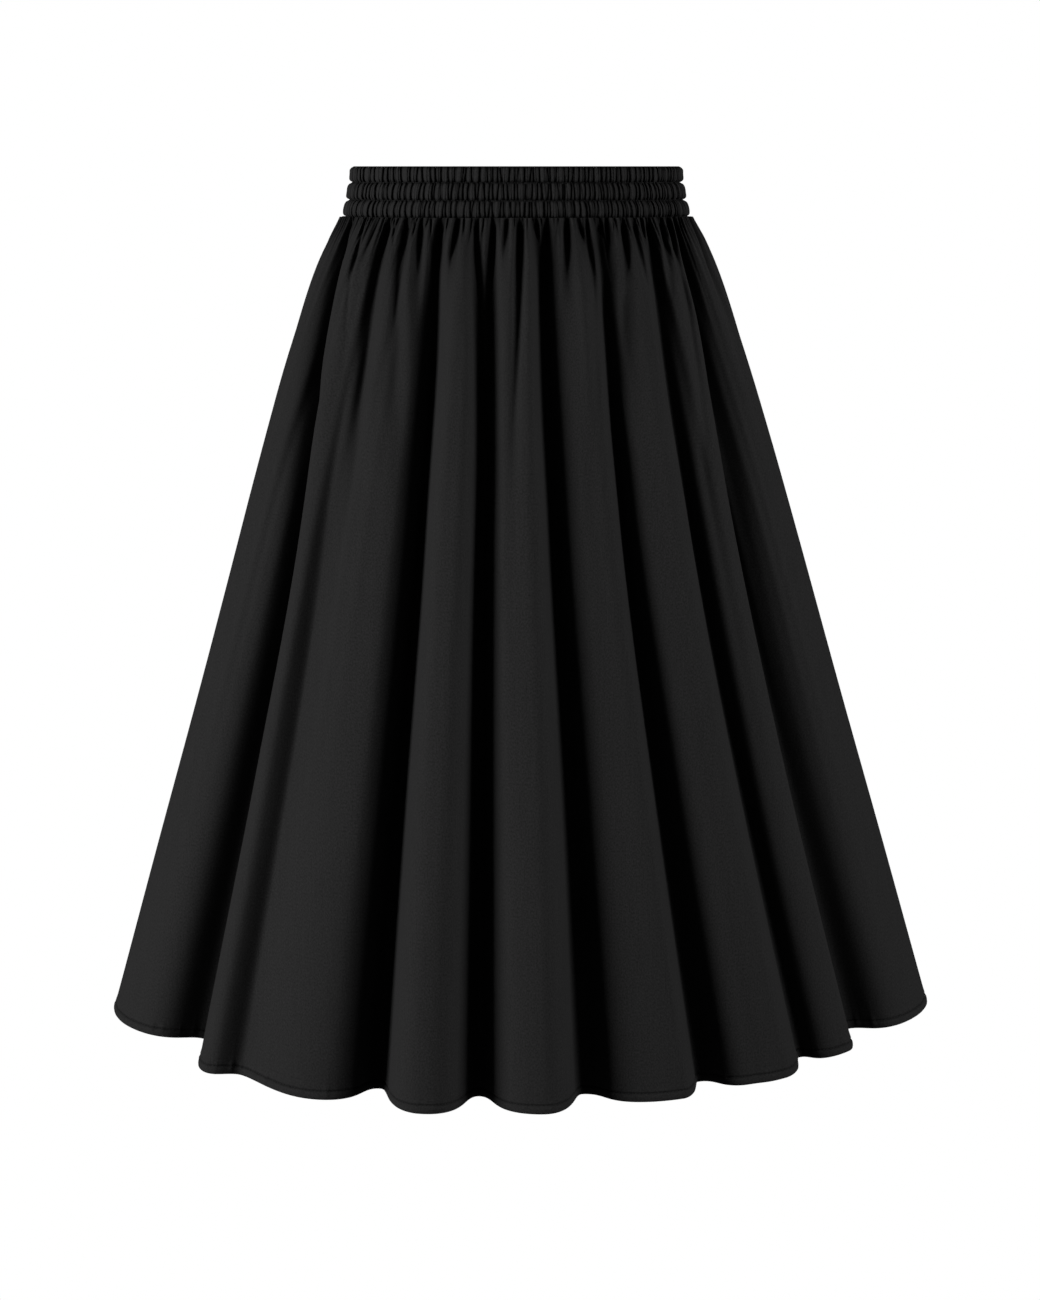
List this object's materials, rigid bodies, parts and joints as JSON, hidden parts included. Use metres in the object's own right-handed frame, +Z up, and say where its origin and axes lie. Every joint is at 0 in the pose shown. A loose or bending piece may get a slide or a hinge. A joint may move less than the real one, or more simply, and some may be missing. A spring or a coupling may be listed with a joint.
{
  "type": "midi skirt",
  "caption": "Black cotton midi skirt with a wide ribbed elastic waistband, gathered into deep full flutes that flare to a narrow topstitched hem, hollow as if worn",
  "frame": {"origin": "middle of the waist opening, half-way up the waistband, where the wearer's waist holds the skirt", "axes": "+Z is up along the wearer, -Y is the front of the skirt, +X is the wearer's left"},
  "size_m": [0.6978, 0.5942, 0.7463],
  "materials": {
    "waistband": "matte",
    "skirt_front": "matte",
    "skirt_back": "matte"
  },
  "bodies": {
    "root": {"waistband": "waistband", "skirt_front": "skirt_front", "skirt_back": "skirt_back"}
  },
  "joints": []
}
